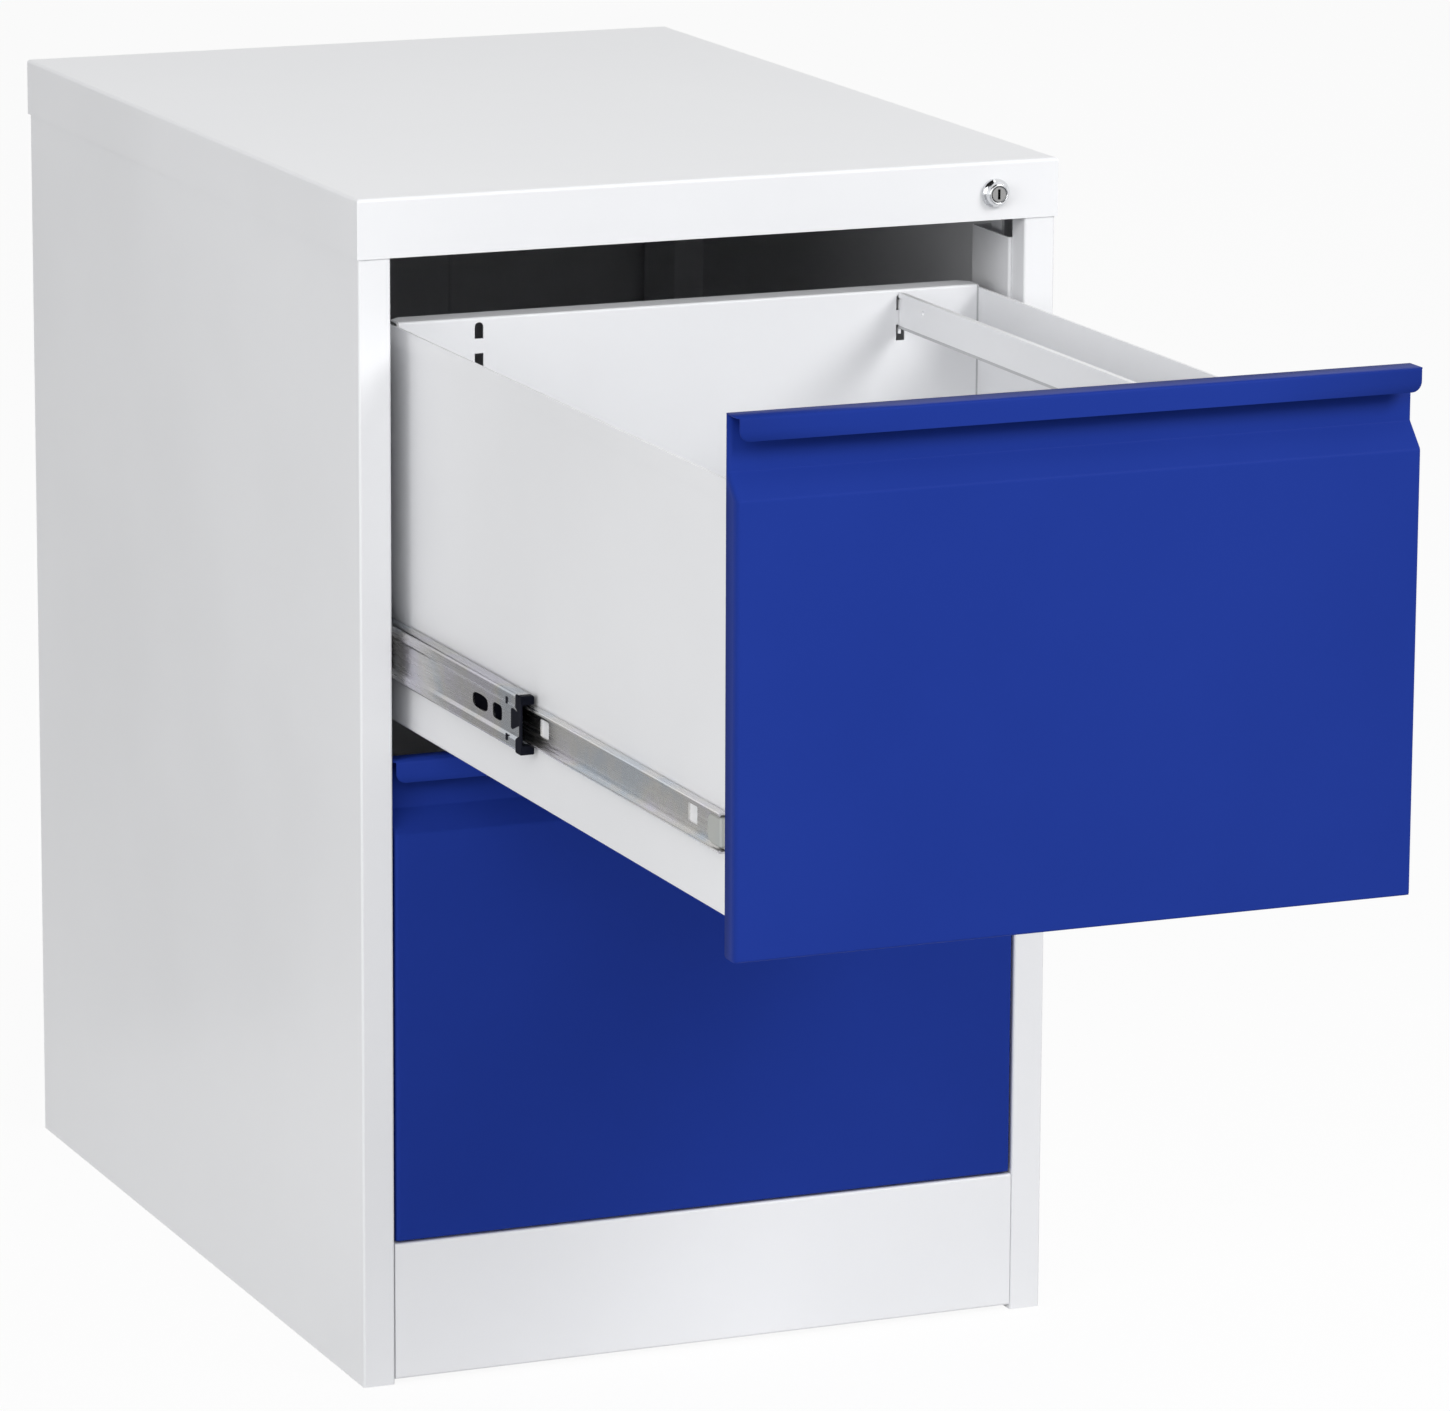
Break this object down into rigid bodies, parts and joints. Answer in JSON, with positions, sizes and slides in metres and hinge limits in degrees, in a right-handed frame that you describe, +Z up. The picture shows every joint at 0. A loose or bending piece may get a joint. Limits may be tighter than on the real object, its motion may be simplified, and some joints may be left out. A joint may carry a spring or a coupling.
{
  "type": "filing cabinet",
  "caption": "Steel filing cabinet with stacked suspension-file drawers on telescopic slides, finger-pull fronts and a lock bar; upper drawer open.",
  "frame": {"origin": "on the floor, under the middle of the cabinet's body", "axes": "+Z up, +Y to the back, +X to the right as seen from the front"},
  "size_m": [0.46, 1.1572, 0.738],
  "materials": {
    "body_paint": "satin",
    "front_paint": "satin",
    "zinc": "satin",
    "chrome": "gloss",
    "ball_steel": "gloss",
    "cage_steel": "satin",
    "dark_plastic": "matte"
  },
  "bodies": {
    "cabinet": {"left_side_panel": "body_paint", "right_side_panel": "body_paint", "top_cap": "body_paint", "back_panel": "body_paint", "plinth": "body_paint", "base_frame": "body_paint", "left_front_upright": "body_paint", "left_rear_upright": "body_paint", "right_front_upright": "body_paint", "right_rear_upright": "body_paint", "upper_left_cabinet_slide": "zinc", "upper_right_cabinet_slide": "zinc", "lower_left_cabinet_slide": "zinc", "lower_right_cabinet_slide": "zinc", "lock_barrel": "chrome", "lock_nut": "zinc", "lock_bar_guides": "dark_plastic"},
    "lock_plug": {"lock_plug": "chrome", "lock_cam": "zinc", "lock_cam_nut": "zinc"},
    "lock_bar": {"lock_bar": "zinc", "lock_bar_arm": "zinc", "lock_bar_hooks": "zinc"},
    "upper_drawer": {"upper_drawer_front": "front_paint", "upper_inner_front": "body_paint", "upper_drawer_tray": "body_paint", "upper_drawer_back": "body_paint", "upper_hanging_rail": "body_paint", "upper_left_drawer_slide": "zinc", "upper_right_drawer_slide": "zinc", "upper_lock_catch": "zinc"},
    "upper_middle_slides": {"upper_left_middle_slide": "zinc", "upper_right_middle_slide": "zinc", "upper_slide_bumpers": "dark_plastic"},
    "upper_outer_cages": {"upper_outer_ball_cages": "cage_steel", "upper_outer_balls": "ball_steel"},
    "upper_inner_cages": {"upper_inner_ball_cages": "cage_steel", "upper_inner_balls": "ball_steel"},
    "lower_drawer": {"lower_drawer_front": "front_paint", "lower_inner_front": "body_paint", "lower_drawer_tray": "body_paint", "lower_drawer_back": "body_paint", "lower_hanging_rail": "body_paint", "lower_left_drawer_slide": "zinc", "lower_right_drawer_slide": "zinc", "lower_lock_catch": "zinc"},
    "lower_middle_slides": {"lower_left_middle_slide": "zinc", "lower_right_middle_slide": "zinc", "lower_slide_bumpers": "dark_plastic"},
    "lower_outer_cages": {"lower_outer_ball_cages": "cage_steel", "lower_outer_balls": "ball_steel"},
    "lower_inner_cages": {"lower_inner_ball_cages": "cage_steel", "lower_inner_balls": "ball_steel"}
  },
  "joints": [
    {"name": "lock_turn", "type": "hinge", "parent": "cabinet", "child": "lock_plug", "pos_m": [0.1871, -0.3232, 0.7183], "axis": [0, 1, 0], "range_deg": [0, 90]},
    {"name": "lock_bar_drop", "type": "slide", "parent": "cabinet", "child": "lock_bar", "axis": [0, 0, -1], "range_m": [0, 0.01273]},
    {"name": "upper_drawer_travel", "type": "slide", "parent": "cabinet", "child": "upper_drawer", "axis": [0, -1, 0], "range_m": [-0.526, 0]},
    {"name": "upper_middle_slides_travel", "type": "slide", "parent": "cabinet", "child": "upper_middle_slides", "axis": [0, -1, 0], "range_m": [-0.263, 0]},
    {"name": "upper_outer_cages_travel", "type": "slide", "parent": "cabinet", "child": "upper_outer_cages", "axis": [0, -1, 0], "range_m": [-0.1315, 0]},
    {"name": "upper_inner_cages_travel", "type": "slide", "parent": "cabinet", "child": "upper_inner_cages", "axis": [0, -1, 0], "range_m": [-0.3945, 0]},
    {"name": "lower_drawer_travel", "type": "slide", "parent": "cabinet", "child": "lower_drawer", "axis": [0, -1, 0], "range_m": [0, 0.526]},
    {"name": "lower_middle_slides_travel", "type": "slide", "parent": "cabinet", "child": "lower_middle_slides", "axis": [0, -1, 0], "range_m": [0, 0.263]},
    {"name": "lower_outer_cages_travel", "type": "slide", "parent": "cabinet", "child": "lower_outer_cages", "axis": [0, -1, 0], "range_m": [0, 0.1315]},
    {"name": "lower_inner_cages_travel", "type": "slide", "parent": "cabinet", "child": "lower_inner_cages", "axis": [0, -1, 0], "range_m": [0, 0.3945]}
  ],
  "couplings": [
    {"joint": "lock_turn", "follows": "lock_bar_drop", "rad_per_m": 123.41},
    {"joint": "upper_middle_slides_travel", "follows": "upper_drawer_travel", "ratio": 0.5},
    {"joint": "upper_outer_cages_travel", "follows": "upper_drawer_travel", "ratio": 0.25},
    {"joint": "upper_inner_cages_travel", "follows": "upper_drawer_travel", "ratio": 0.75},
    {"joint": "lower_middle_slides_travel", "follows": "lower_drawer_travel", "ratio": 0.5},
    {"joint": "lower_outer_cages_travel", "follows": "lower_drawer_travel", "ratio": 0.25},
    {"joint": "lower_inner_cages_travel", "follows": "lower_drawer_travel", "ratio": 0.75}
  ]
}
